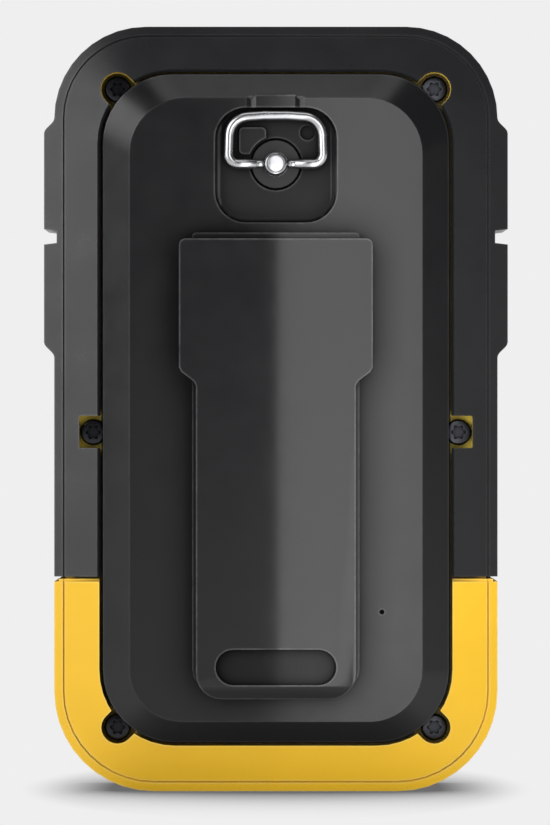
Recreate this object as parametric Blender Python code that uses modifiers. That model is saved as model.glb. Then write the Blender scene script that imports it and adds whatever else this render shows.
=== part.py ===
"""A rugged handheld GPS unit, standing on its lower end.

+Z is up, the screen looks along +Y and the battery cover looks along -Y. The origin is on the
surface that the unit stands on, under the middle of the box around the whole unit. All sizes
are in metres.
"""

import math

import bmesh
import bpy
from mathutils import Matrix, Vector

MM = 0.001
GAP = 0.3 * MM  # air between pieces that touch
CORNER_STEPS = 10
FINE_STEPS = 6

# The outline of the case, seen from the cover side.
HEIGHT = 102.0 * MM
HALF_WIDTH = 29.57 * MM
GUARD_HALF = 30.94 * MM  # over the guards around the side keys
TOP_RADIUS = 12.2 * MM
FOOT_RADIUS = 13.3 * MM
GUARDS = ((57.9 * MM, 72.95 * MM), (75.0 * MM, 89.8 * MM))
GUARD_RAMP = 2.0 * MM
SLOT_SLOPE = 0.2 * MM
GUARD_SLOT = 29.25 * MM  # half width at the slot between the guards
JOINT = (27.98 * MM, 28.65 * MM)  # the groove where the rubber ends
JOINT_STEP = 0.6 * MM

# Depths, from the cover side to the screen side.
SPINE_FACE = -15.25 * MM
COVER_FACE = -11.75 * MM
COVER_RIM = -9.5 * MM
BACK = -9.2 * MM
BACK_FALL = 0.6 * MM  # how far the back falls away from the cover's opening to its outer edge
COVER_BACK = -8.1 * MM
COVER_SEAT = -7.0 * MM  # floor of the recess that the cover sits in
SPLIT = -3.0 * MM  # the joint between the two shells
BOARD = (6.7 * MM, 7.7 * MM)
FRONT = 12.3 * MM
BEZEL_FACE = 13.5 * MM
BEZEL_SEAT = 10.5 * MM
STICK_FACE = 15.25 * MM

# Walls.
RUBBER = 1.2 * MM
WALL = 2.0 * MM
FACE_WALL = 1.4 * MM  # around the screen
SKIN = RUBBER + GAP  # from the outer surface to the shell under the rubber
CAVITY = SKIN + WALL

# Battery cover and what it carries.
COVER_HALF = 23.05 * MM
COVER_ENDS = (6.6 * MM, 95.6 * MM)
COVER_RADII = (9.6 * MM, 9.2 * MM)
COVER_GAP = 0.5 * MM
LIP = (0.38 * MM, 0.8 * MM)  # from the cover to the rubber's inner edge: at its root and its face
FLAT_HALF = 19.5 * MM
FLAT_ENDS = (9.4 * MM, 92.4 * MM)
FLAT_RADII = (7.0 * MM, 7.5 * MM)
COVER_SKIN = 1.6 * MM
LATCH_Z = 83.6 * MM
POCKET_HALF = 8.1 * MM
POCKET_ENDS = (75.8 * MM, 91.1 * MM)
POCKET_RADIUS = 4.1 * MM
POCKET_FLOOR = -10.3 * MM
RING_DEPTH = -11.3 * MM
RING_WIRE = 0.7 * MM
RING_PIN = 0.5 * MM
RING_HALF = 6.3 * MM  # to the middle of the wire
RING_TOP = 6.5 * MM  # from the pin to the middle of the wire
LATCH_HEAD = 1.5 * MM
LATCH_DISC = 3.2 * MM
SPINE_WIDE = 12.85 * MM
SPINE_SLIM = 10.6 * MM
SPINE_ENDS = (12.5 * MM, 73.6 * MM)
SPINE_SHOULDER = (54.1 * MM, 56.5 * MM)
SPINE_NECK = (11.1 * MM, 14.0 * MM, 74.4 * MM)  # half width, lower end, upper end
SPINE_UNDERSIDE = -13.25 * MM
VENT = (14.1 * MM, 24.0 * MM)

# Grooves on either side of the cover's finger tab.
TAB_GROOVES = (-3.3 * MM, 3.2 * MM)
TAB_GROOVE_HALF = 0.65 * MM
TAB_GROOVE_DEPTH = 0.35 * MM
TAB_GROOVE_TOP = 92.75 * MM

# Cells and their bay.
CELL_RADIUS = 7.25 * MM
CELL_X = 7.6 * MM
CELL_DEPTH = -2.4 * MM
CELL_LENGTH = 50.5 * MM
CELL_NUB = 1.3 * MM
SPRING_ROOM = 4.7 * MM
BAY_HALF = 15.6 * MM
BAY_ENDS = (15.5 * MM, 72.0 * MM)
BAY_FLOOR = 5.1 * MM
BAY_WALL = 1.2 * MM

# Screws through the rear shell.
SCREWS = [(side * 21.15 * MM, z) for z in (8.5 * MM, 93.7 * MM) for side in (-1, 1)]
SCREWS += [(side * 24.4 * MM, 47.9 * MM) for side in (-1, 1)]
HEAD_RADIUS = 1.75 * MM
BOSS_RADIUS = 3.2 * MM
SCREW_POCKET = 2.15 * MM
POCKET_SEAT = -6.3 * MM
REAR_WALL = -5.0 * MM  # inner face of the rear shell's back

# Screen side.
BEZEL_HALF = 24.5 * MM
BEZEL_ENDS = (22.0 * MM, 97.5 * MM)
LENS_HALF = 19.7 * MM
LENS_ENDS = (27.3 * MM, 79.7 * MM)
SCREEN_HALF = 18.2 * MM
SCREEN_ENDS = (29.5 * MM, 77.5 * MM)
STICK = (-15.0 * MM, 88.6 * MM)

# Side keys, all at one depth: name, side, lower end, upper end.
KEY_DEPTHS = (1.0 * MM, 8.6 * MM)
KEY_MIDDLE = 4.8 * MM
KEYS = (
    ("zoom_rocker", 1, 76.4 * MM, 87.2 * MM),
    ("menu_key", 1, 61.2 * MM, 71.8 * MM),
    ("back_key", -1, 76.4 * MM, 87.2 * MM),
    ("power_key", -1, 61.2 * MM, 71.8 * MM),
)
KEY_FACE = 30.6 * MM
KEY_BACK = 29.0 * MM
STEM_END = 26.0 * MM
PORT_Z = 37.0 * MM
PORT_CAP = (30.4 * MM, 43.6 * MM)

RUBBER_BLACK = (0.035, 0.036, 0.038)
PLASTIC_BLACK = (0.028, 0.029, 0.031)
YELLOW = (0.86, 0.52, 0.055)
STEEL = (0.72, 0.72, 0.72)
DARK_STEEL = (0.09, 0.09, 0.09)
GOLD = (0.80, 0.62, 0.28)


def collection(name):
    made = bpy.data.collections.new(name)
    bpy.context.scene.collection.children.link(made)
    return made


for old in list(bpy.data.objects):
    bpy.data.objects.remove(old, do_unlink=True)
PARTS = collection("handheld_gps_unit")
TOOLS = collection("cutters")


# --- Outlines, as lists of points in x and z ---


def arc(x, z, radius, start, end, steps):
    """Points on an arc from one angle to another, in degrees, both ends included."""
    angles = [math.radians(start + (end - start) * i / steps) for i in range(steps + 1)]
    return [(x + radius * math.cos(a), z + radius * math.sin(a)) for a in angles]


def round_rect(half, ends, radii, middle=0.0, steps=CORNER_STEPS):
    """A rectangle with round lower and upper corners, anticlockwise from its lower right."""
    low, high = ends
    foot, top = radii
    right = middle + half
    left = middle - half
    return (
        arc(right - foot, low + foot, foot, -90, 0, steps)
        + arc(right - top, high - top, top, 0, 90, steps)
        + arc(left + top, high - top, top, 90, 180, steps)
        + arc(left + foot, low + foot, foot, 180, 270, steps)
    )


def case_outline(inset=0.0):
    """The case without its guards, drawn inwards by the inset."""
    ends = (inset, HEIGHT - inset)
    radii = (FOOT_RADIUS - inset, TOP_RADIUS - inset)
    return round_rect(HALF_WIDTH - inset, ends, radii)


def ramp(start, end, steps=FINE_STEPS):
    """An eased slope between two points."""
    (x0, z0), (x1, z1) = start, end
    points = []
    for i in range(steps + 1):
        t = i / steps
        points.append((x0 + (x1 - x0) * (1 - math.cos(math.pi * t)) / 2, z0 + (z1 - z0) * t))
    return points


def guard_side():
    """The right side with its two guards and the slot between them, going up."""
    (low, slot_low), (slot_high, high) = GUARDS
    return (
        ramp((HALF_WIDTH, low), (GUARD_HALF, low + GUARD_RAMP))
        + [(GUARD_HALF, slot_low), (GUARD_SLOT, slot_low + SLOT_SLOPE)]
        + [(GUARD_SLOT, slot_high - SLOT_SLOPE), (GUARD_HALF, slot_high)]
        + ramp((GUARD_HALF, high - GUARD_RAMP), (HALF_WIDTH, high))[:-1]
    )


def grip_outline():
    """The rubber's outline: the case with its guards."""
    right = guard_side()
    left = [(-x, z) for x, z in reversed(right)]
    outline = case_outline()
    quarter = CORNER_STEPS + 1
    return (
        outline[:quarter]
        + right
        + outline[quarter : 3 * quarter]
        + left
        + outline[3 * quarter :]
    )


def below_line(z):
    """A wide rectangle that ends at a height."""
    return [(-0.03, 0.0), (0.03, 0.0), (0.03, z), (-0.03, z)]


def screw_pocket_outline(x, z, radius):
    """A slot with one round end at a screw, open towards the battery cover."""
    reach = 2.0 * MM
    outward = 0.0 if x > 0 else 180.0
    if abs(x) < 22 * MM:
        outward = math.degrees(math.atan2(math.copysign(1, z - HEIGHT / 2), x / abs(x)))
    turn = math.radians(outward)
    back = Vector((-math.cos(turn), -math.sin(turn))) * reach
    end = arc(x, z, radius, outward - 90, outward + 90, 2 * FINE_STEPS)
    return end + [(end[-1][0] + back.x, end[-1][1] + back.y), (end[0][0] + back.x, end[0][1] + back.y)]


def lobed_outline(x, z, radius, swing, lobes=6):
    """A six-lobed drive recess."""
    points = []
    for i in range(4 * lobes):
        turn = math.tau * i / (4 * lobes)
        reach = radius + swing * math.cos(lobes * turn)
        points.append((x + reach * math.cos(turn), z + reach * math.sin(turn)))
    return points


# --- Solids ---


def add(name, mesh, home=None):
    made = bpy.data.objects.new(name, mesh)
    (home or PARTS).objects.link(made)
    if home is TOOLS:
        made.hide_render = True
        made.display_type = "WIRE"
    mesh.shade_smooth()
    mesh.set_sharp_from_angle(angle=math.radians(30))
    return made


def from_curve(name, curve, place, home):
    """A mesh object from a curve, with its caps welded to its sides."""
    drawn = bpy.data.objects.new(name + "_curve", curve)
    bpy.context.scene.collection.objects.link(drawn)
    drawn.matrix_world = place
    seen = bpy.context.evaluated_depsgraph_get()
    mesh = bpy.data.meshes.new_from_object(drawn.evaluated_get(seen))
    form = bmesh.new()
    form.from_mesh(mesh)
    bmesh.ops.remove_doubles(form, verts=form.verts, dist=0.001 * MM)
    form.to_mesh(mesh)
    form.free()
    made = add(name, mesh, home)
    made.matrix_world = place
    bpy.data.objects.remove(drawn, do_unlink=True)
    return made


def slab(name, outlines, near, far, home=None):
    """Flat outlines, filled between them, as thick as the space from y = near to y = far."""
    curve = bpy.data.curves.new(name, "CURVE")
    curve.dimensions = "2D"
    curve.fill_mode = "BOTH"
    curve.extrude = (far - near) / 2
    for outline in outlines:
        spline = curve.splines.new("POLY")
        spline.points.add(len(outline) - 1)
        for point, (x, z) in zip(spline.points, outline):
            point.co = (x, z, 0, 1)
        spline.use_cyclic_u = True
    upright = Matrix.Rotation(math.pi / 2, 4, "X")
    return from_curve(name, curve, Matrix.Translation((0, (near + far) / 2, 0)) @ upright, home)


def loft(name, sections, home=None):
    """A solid through outlines with equal numbers of points, each at its own depth."""
    form = bmesh.new()
    rings = [[form.verts.new((x, y, z)) for x, z in outline] for y, outline in sections]
    form.faces.new(rings[0])
    form.faces.new(rings[-1])
    for near, far in zip(rings, rings[1:]):
        for i, vert in enumerate(near):
            j = (i + 1) % len(near)
            form.faces.new((vert, near[j], far[j], far[i]))
    bmesh.ops.recalc_face_normals(form, faces=form.faces)
    mesh = bpy.data.meshes.new(name)
    form.to_mesh(mesh)
    form.free()
    return add(name, mesh, home)


def block(name, low, high, home=None):
    """A box between two corners."""
    low, high = Vector(low), Vector(high)
    form = bmesh.new()
    bmesh.ops.create_cube(form, size=1.0)
    bmesh.ops.scale(form, vec=high - low, verts=form.verts)
    mesh = bpy.data.meshes.new(name)
    form.to_mesh(mesh)
    form.free()
    made = add(name, mesh, home)
    made.location = (low + high) / 2
    return made


def rod(name, start, end, radius, home=None, sides=20, end_radius=None):
    """A cylinder or cone between two points."""
    start, end = Vector(start), Vector(end)
    form = bmesh.new()
    bmesh.ops.create_cone(
        form,
        cap_ends=True,
        segments=sides,
        radius1=radius,
        radius2=radius if end_radius is None else end_radius,
        depth=(end - start).length,
    )
    mesh = bpy.data.meshes.new(name)
    form.to_mesh(mesh)
    form.free()
    made = add(name, mesh, home)
    made.location = (start + end) / 2
    made.rotation_euler = (end - start).to_track_quat("Z", "Y").to_euler()
    return made


def wire(name, points, radius, closed, home=None):
    """A round wire through points."""
    curve = bpy.data.curves.new(name, "CURVE")
    curve.dimensions = "3D"
    curve.bevel_depth = radius
    curve.bevel_resolution = 2
    curve.use_fill_caps = True
    spline = curve.splines.new("POLY")
    spline.points.add(len(points) - 1)
    for point, place in zip(spline.points, points):
        point.co = (*place, 1)
    spline.use_cyclic_u = closed
    return from_curve(name, curve, Matrix(), home)


def boolean(target, operation, tools):
    for tool in tools:
        step = target.modifiers.new(operation.lower(), "BOOLEAN")
        step.operation = operation
        step.solver = "EXACT"
        step.object = tool
    return target


def cut(target, *tools):
    return boolean(target, "DIFFERENCE", tools)


def join(target, *tools):
    return boolean(target, "UNION", tools)


def keep(target, *tools):
    return boolean(target, "INTERSECT", tools)


def small_rect(half, ends, middle=0.0, radius=0.6 * MM):
    """A small upright rectangle with round corners."""
    return round_rect(half, ends, (radius, radius), middle, 3)


# --- Materials ---


def finish(colour, roughness, metallic=0.0, *pieces):
    """One material for each piece."""
    for piece in pieces:
        material = bpy.data.materials.new(piece.name)
        material.use_nodes = True
        shader = material.node_tree.nodes["Principled BSDF"]
        shader.inputs["Base Color"].default_value = (*colour, 1)
        shader.inputs["Roughness"].default_value = roughness
        shader.inputs["Metallic"].default_value = metallic
        piece.data.materials.append(material)


def pivot(name, place, pieces, parent=None):
    """An empty on a joint's axis, which carries what the joint moves."""
    empty = bpy.data.objects.new(name, None)
    PARTS.objects.link(empty)
    empty.empty_display_size = 4 * MM
    own = Matrix.Translation(place)
    empty.matrix_world = own
    if parent:
        empty.parent = parent
        empty.matrix_parent_inverse = parent.matrix_world.inverted()
    for piece in pieces:
        piece.parent = empty
        piece.matrix_parent_inverse = own.inverted()
    return empty


# --- Shells and their rubber ---


def cover_opening(room=COVER_GAP):
    """The outline that leaves a room around the battery cover."""
    ends = (COVER_ENDS[0] - room, COVER_ENDS[1] + room)
    radii = (COVER_RADII[0] + room, COVER_RADII[1] + room)
    return round_rect(COVER_HALF + room, ends, radii)


def edge_groove(name):
    """The fine groove that follows the edge of the back."""
    band = 1.15 * MM
    width = 0.22 * MM
    depth = 0.25 * MM
    outlines = [case_outline(band), case_outline(band + width)]
    return slab(name, outlines, BACK - GAP, BACK + 0.8 * BACK_FALL + depth, TOOLS)


def back_slope(name):
    """The form that lets the back fall away evenly towards its outer edge."""
    out = 2.2 * MM
    inner = cover_opening()
    outer = case_outline(-out)
    band = HALF_WIDTH - COVER_HALF - COVER_GAP
    fall = BACK_FALL * (band + out) / band
    above = -0.2
    raised = [(x + (u - x) * above, z + (v - z) * above) for (x, z), (u, v) in zip(inner, outer)]
    sections = [(BACK + fall * above, raised), (BACK + fall, outer), (FRONT, outer)]
    return loft(name, sections, TOOLS)


def screw_pockets(name, radius, far):
    """The pockets that the screw heads sit in."""
    pockets = []
    for i, (x, z) in enumerate(SCREWS, 1):
        if abs(x) > 22 * MM:
            half = 1.85 * MM
            middle = math.copysign(26.25 * MM - half, x)
            outline = small_rect(half, (45.8 * MM, 50.1 * MM), middle, 0.2 * MM)
        else:
            outline = screw_pocket_outline(x, z, radius)
        pockets.append(slab(f"{name}_{i}", [outline], BACK - GAP, far, TOOLS))
    return pockets


def relief(name, near, far, outer, inward):
    """What the rubber takes from a shell: a skin off its sides and its outer face."""
    outside = case_outline(-2 * MM)
    above_joint = (JOINT[1] - GAP, JOINT[0])
    cutters = []
    for depth, low in zip((SKIN, JOINT_STEP), above_joint):
        tag = f"{name}_{round(depth / MM * 10)}"
        sides = slab(tag + "_sides", [outside, case_outline(depth)], near - MM, far + MM, TOOLS)
        levels = sorted((outer - inward * MM, outer + inward * depth))
        face = slab(tag + "_face", [outside], *levels, TOOLS)
        for cutter in (sides, face):
            below = block(cutter.name + "_below", (-0.04, -0.03, -0.01), (0.04, 0.03, low), TOOLS)
            cutters.append(cut(cutter, below))
    return cutters


def bosses(name, near, far, radius=BOSS_RADIUS):
    return [
        rod(f"{name}_{i}", (x, near, z), (x, far, z), radius, TOOLS, 16)
        for i, (x, z) in enumerate(SCREWS, 1)
    ]


def make_rear_case():
    """The shell behind the battery cover, with the bay for the cells."""
    case = slab("rear_case", [case_outline()], BACK, SPLIT)
    cut(case, *relief("rear_relief", BACK, SPLIT, BACK, 1))
    cut(case, slab("rear_recess", [cover_opening()], BACK - MM, COVER_SEAT, TOOLS))
    cut(case, slab("rear_cavity", [case_outline(CAVITY)], REAR_WALL, SPLIT + MM, TOOLS))
    low, high = BAY_ENDS
    half = BAY_HALF + BAY_WALL
    tub = block(
        "bay_outer",
        (-half, REAR_WALL - GAP, low - BAY_WALL),
        (half, BAY_FLOOR + BAY_WALL, high + BAY_WALL),
        TOOLS,
    )
    join(case, tub, *bosses("rear_boss", REAR_WALL - GAP, SPLIT - GAP))
    bay = block("bay", (-BAY_HALF, BACK - MM, low), (BAY_HALF, BAY_FLOOR, high), TOOLS)
    cut(case, bay, edge_groove("rear_case_groove"))
    cut(case, *screw_pockets("rear_case_pocket", SCREW_POCKET, POCKET_SEAT))
    cut(case, *bosses("rear_hole", BACK, SPLIT + MM, 1.2 * MM))
    pit = rod("latch_pit", (0, BACK, LATCH_Z), (0, -5.9 * MM, LATCH_Z), 5.3 * MM, TOOLS, 24)
    keep(cut(case, pit), back_slope("rear_case_slope"))
    finish(YELLOW, 0.45, 0.0, case)
    return case


def side_window(name, side, near, far, low, high, inner, outer=32 * MM):
    """A rectangular hole in one side wall."""
    ends = sorted((side * inner, side * outer))
    return block(name, (ends[0], near, low), (ends[1], far, high), TOOLS)


def make_front_case():
    """The shell around the screen."""
    near = SPLIT + GAP
    core = FRONT - SKIN
    case = slab("front_case", [case_outline()], near, FRONT)
    cut(case, *relief("front_relief", near, FRONT, FRONT, -1))
    cut(case, slab("front_cavity", [case_outline(CAVITY)], near - MM, core - FACE_WALL, TOOLS))
    cut(case, bezel_seat("front_case_seat"))
    join(case, *bosses("front_boss", near + GAP, core - MM))
    cut(case, seal_ring("seal_groove", 0.0, near - MM, SPLIT + MM + GAP, TOOLS))
    cut(case, *bosses("front_hole", near - MM, 5 * MM, 1.2 * MM))
    window = slab("screen_window", [small_rect(SCREEN_HALF, SCREEN_ENDS)], 0, FRONT + MM, TOOLS)
    x, z = STICK
    cut(case, window, rod("stick_hole", (x, 0, z), (x, FRONT + MM, z), 4.2 * MM, TOOLS))
    for name, side, low, high in KEYS:
        for i, middle in enumerate(stem_heights(name, low, high)):
            hole = side_window(
                f"{name}_hole_{i}",
                side,
                KEY_MIDDLE - 1.6 * MM,
                KEY_MIDDLE + 1.6 * MM,
                middle - 2.0 * MM,
                middle + 2.0 * MM,
                24 * MM,
            )
            cut(case, hole)
    port = slab_sideways("port_hole", 4.8 * MM, 2.0 * MM, (24 * MM, 30 * MM))
    keep(cut(case, port), front_edge("front_case_edge"))
    finish(YELLOW, 0.45, 0.0, case)
    return case


def front_edge(name):
    """The form that slopes off the edge around the screen side."""
    edge = 1.6 * MM
    out = 2.2 * MM
    return loft(
        name,
        [
            (SPLIT - 4 * MM, case_outline(-out)),
            (FRONT - edge - out, case_outline(-out)),
            (FRONT + MM, case_outline(edge + MM)),
        ],
        TOOLS,
    )


def bezel_seat(name):
    """The recess that the bezel sits in."""
    ends = (BEZEL_ENDS[0] - GAP, BEZEL_ENDS[1] + GAP)
    outline = round_rect(BEZEL_HALF + GAP, ends, (8 * MM, 8 * MM))
    return slab(name, [outline], BEZEL_SEAT, FRONT + MM, TOOLS)


def slab_sideways(name, half_z, half_y, ends, home=None):
    """A flat round-ended shape that faces along +X, at the port."""
    outline = round_rect(half_y, (-half_z, half_z), (0.9 * half_y,) * 2, 0.0, 4)
    made = slab(name, [outline], ends[0], ends[1], home or TOOLS)
    made.matrix_world = (
        Matrix.Translation((0, KEY_MIDDLE, PORT_Z))
        @ Matrix.Rotation(-math.pi / 2, 4, "Z")
        @ made.matrix_world
    )
    return made


def rubber(name, near, far, opening):
    """A skin of rubber over the sides and one face of a shell."""
    grip = slab(name, [grip_outline()], near, far)
    inner = case_outline(RUBBER)
    if opening == "rear":
        core = slab(name + "_core", [inner], near + RUBBER, far + MM, TOOLS)
        root, face = LIP
        slope = face - root
        hole = loft(
            name + "_opening",
            [
                (near - slope, cover_opening(face + slope)),
                (near + slope, cover_opening(root)),
                (far, cover_opening(root)),
            ],
            TOOLS,
        )
    else:
        core = slab(name + "_core", [inner], near - MM, far - RUBBER, TOOLS)
        hole = bezel_seat(name + "_opening")
    below = block(name + "_below", (-0.04, near - MM, -MM), (0.04, far + MM, JOINT[1]), TOOLS)
    return cut(grip, core, hole, below)


def make_rear_grip():
    grip = rubber("rear_grip", BACK, SPLIT, "rear")
    pockets = screw_pockets("rear_grip_pocket", SCREW_POCKET + 0.1 * MM, SPLIT - MM)
    cut(grip, edge_groove("rear_grip_groove"), *pockets[2:])
    keep(grip, back_slope("rear_grip_slope"))
    finish(RUBBER_BLACK, 0.55, 0.0, grip)
    return grip


def make_front_grip():
    grip = rubber("front_grip", SPLIT + GAP, FRONT, "front")
    near, far = KEY_DEPTHS
    for name, side, low, high in KEYS:
        cut(grip, side_window(name + "_window", side, near, far, low, high, 27 * MM))
    low, high = PORT_CAP
    cut(grip, side_window("port_window", 1, near, far, low, high, 27 * MM))
    keep(grip, front_edge("front_grip_edge"))
    finish(RUBBER_BLACK, 0.55, 0.0, grip)
    return grip


def seal_ring(name, spare, near, far, home=None):
    """A thin ring inside the wall of the shells, with some room taken on each side."""
    middle = (SKIN + CAVITY) / 2
    half = 0.6 * MM - spare
    outlines = [case_outline(middle - half), case_outline(middle + half)]
    return slab(name, outlines, near, far, home)


def make_case_seal():
    """The silicone ring in the joint between the shells."""
    seal = seal_ring("case_seal", GAP, SPLIT + GAP, SPLIT + MM)
    finish((0.45, 0.46, 0.47), 0.6, 0.0, seal)


def make_screws():
    """Six screws from the rear shell into the front one."""
    seat = POCKET_SEAT - GAP
    top = seat - 0.95 * MM
    for i, (x, z) in enumerate(SCREWS, 1):
        name = f"case_screw_{i}"
        screw = rod(name, (x, top, z), (x, seat, z), HEAD_RADIUS, None, 24)
        shank = rod(name + "_shank", (x, seat - GAP, z), (x, 3 * MM, z), 0.9 * MM, TOOLS, 10)
        drive = slab(
            name + "_drive",
            [lobed_outline(x, z, 0.85 * MM, 0.15 * MM)],
            top - GAP,
            top + 0.6 * MM,
            TOOLS,
        )
        cut(join(screw, shank), drive)
        finish(DARK_STEEL, 0.35, 0.9, screw)


# --- Battery cover ---


def make_battery_cover():
    rim = round_rect(COVER_HALF, COVER_ENDS, COVER_RADII)
    flat = round_rect(FLAT_HALF, FLAT_ENDS, FLAT_RADII)
    sections = [(COVER_FACE, flat), (COVER_RIM, rim), (COVER_BACK, rim)]
    cover = loft("battery_cover", sections)
    inset = 2.6 * MM
    ends = (COVER_ENDS[0] + inset, COVER_ENDS[1] - inset)
    radii = (COVER_RADII[0] - inset, COVER_RADII[1] - inset)
    hollow = round_rect(COVER_HALF - inset, ends, radii)
    inner_face = COVER_FACE + COVER_SKIN
    cut(cover, slab("cover_hollow", [hollow], inner_face, 0, TOOLS))
    low, high = POCKET_ENDS
    pad = block(
        "latch_pad",
        (-10 * MM, inner_face - GAP, low - 1.2 * MM),
        (10 * MM, -8.2 * MM, COVER_ENDS[1] - inset + GAP),
        TOOLS,
    )
    tab = block(
        "finger_tab",
        (-2.75 * MM, COVER_FACE, high - GAP),
        (2.7 * MM, inner_face, FLAT_ENDS[1] + 0.4 * MM),
        TOOLS,
    )
    join(cover, pad, tab)
    outline = round_rect(POCKET_HALF, POCKET_ENDS, (POCKET_RADIUS,) * 2, 0.0, 8)
    floor = round_rect(
        POCKET_HALF - 0.75 * MM,
        (low + 0.75 * MM, high - 0.75 * MM),
        (POCKET_RADIUS - 0.75 * MM,) * 2,
        0.0,
        8,
    )
    pocket = loft(
        "ring_pocket",
        [
            (COVER_FACE - MM, outline),
            (POCKET_FLOOR - 0.35 * MM, outline),
            (POCKET_FLOOR, floor),
        ],
        TOOLS,
    )
    cut(cover, pocket)
    for i, middle in enumerate(TAB_GROOVES):
        cut(cover, tab_groove(f"tab_groove_{i + 1}", middle, high))
    x, z = VENT
    vent = rod("vent_hole", (x, -0.02, z), (x, -0.005, z), 0.33 * MM, TOOLS, 10)
    well = rod("latch_well", (0, -0.02, LATCH_Z), (0, -9.0 * MM, LATCH_Z), 3.5 * MM, TOOLS, 32)
    bore = rod("latch_bore", (0, -0.02, LATCH_Z), (0, 0, LATCH_Z), 1.85 * MM, TOOLS, 20)
    cut(cover, vent)
    join(cover, make_turn_stop())
    cut(cover, well, bore, dimple())
    finish(PLASTIC_BLACK, 0.5, 0.0, cover)
    return cover


def tab_groove(name, middle, low):
    """A shallow V beside the finger tab, with a sloped upper end."""
    sections = []
    for level in (-0.6, 0.94):
        half = TAB_GROOVE_HALF * (1 - level)
        top = TAB_GROOVE_TOP - TAB_GROOVE_HALF * level
        left, right = middle - half, middle + half
        outline = [(left, low - MM), (right, low - MM), (right, top), (left, top)]
        sections.append((COVER_FACE + TAB_GROOVE_DEPTH * level, outline))
    return loft(name, sections, TOOLS)


def make_turn_stop():
    """The raised block that stops the ring from turning the wrong way."""
    low, high = LATCH_Z + 1.3 * MM, LATCH_Z + 4.9 * MM
    outline = small_rect(1.8 * MM, (low, high), -3.1 * MM)
    stop = slab("turn_stop", [outline], POCKET_FLOOR - 0.6 * MM, POCKET_FLOOR + GAP, TOOLS)
    clear = rod("stop_clearance", (0, -0.02, LATCH_Z), (0, 0, LATCH_Z), 3.7 * MM, TOOLS, 32)
    return cut(stop, clear)


def dimple():
    """The round detent beside the stop."""
    x, z = 4.2 * MM, LATCH_Z + 4.2 * MM
    return rod("detent", (x, -0.02, z), (x, POCKET_FLOOR + 0.5 * MM, z), MM, TOOLS, 16)


def make_mounting_spine():
    """The rail on the cover that a clip slides onto: a wide plate on a narrower neck."""
    low, high = SPINE_ENDS
    foot_radius = 3.4 * MM
    head_radius = 0.8 * MM
    shoulder_low, shoulder_high = SPINE_SHOULDER
    right = (
        arc(SPINE_SLIM - foot_radius, low + foot_radius, foot_radius, -90, 0, FINE_STEPS)
        + ramp((SPINE_SLIM, shoulder_low), (SPINE_WIDE, shoulder_high), 4)
        + arc(SPINE_WIDE - head_radius, high - head_radius, head_radius, 0, 90, 3)
    )
    plate = right + [(-x, z) for x, z in reversed(right)]
    spine = slab("mounting_spine", [plate], SPINE_FACE, SPINE_UNDERSIDE)
    half, neck_low, neck_high = SPINE_NECK
    neck = slab(
        "spine_neck",
        [round_rect(half, (neck_low, neck_high), (2.4 * MM, 0.5 * MM), 0.0, 4)],
        SPINE_UNDERSIDE - MM,
        COVER_FACE - GAP,
        TOOLS,
    )
    join(spine, neck)
    lip_top = 14.2 * MM
    lip_depth = 0.85 * MM
    lip_slope = (lip_top - low) / lip_depth
    levels = (-MM, lip_depth)
    lip = loft(
        "spine_lip",
        [(SPINE_FACE + y, below_line(lip_top - y * lip_slope)) for y in levels],
        TOOLS,
    )
    slot = round_rect(8.0 * MM, (14.4 * MM, 19.1 * MM), (2.35 * MM,) * 2, 0.0, FINE_STEPS)
    cut(spine, lip, slab("spine_slot", [slot], SPINE_FACE - MM, SPINE_FACE + 1.1 * MM, TOOLS))
    finish(PLASTIC_BLACK, 0.5, 0.0, spine)
    return spine


def make_cover_seal():
    """The black seal that the cover's rim presses on, notched around the screws."""
    near = COVER_BACK + GAP
    outer = COVER_GAP - GAP
    inner = 1.9 * MM
    outlines = []
    for grow in (outer, -inner):
        ends = (COVER_ENDS[0] - grow, COVER_ENDS[1] + grow)
        radii = (COVER_RADII[0] + grow, COVER_RADII[1] + grow)
        outlines.append(round_rect(COVER_HALF + grow, ends, radii))
    seal = slab("cover_seal", outlines, near, COVER_SEAT - GAP)
    cut(seal, *screw_pockets("seal_notch", SCREW_POCKET + 0.1 * MM, SPLIT))
    finish((0.02, 0.02, 0.02), 0.7, 0.0, seal)


def make_vent_membrane():
    x, z = VENT
    near = COVER_FACE + COVER_SKIN + GAP
    disc = rod("vent_membrane", (x, near, z), (x, near + 0.25 * MM, z), 1.7 * MM, None, 16)
    finish((0.8, 0.8, 0.8), 0.9, 0.0, disc)
    return disc


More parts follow.
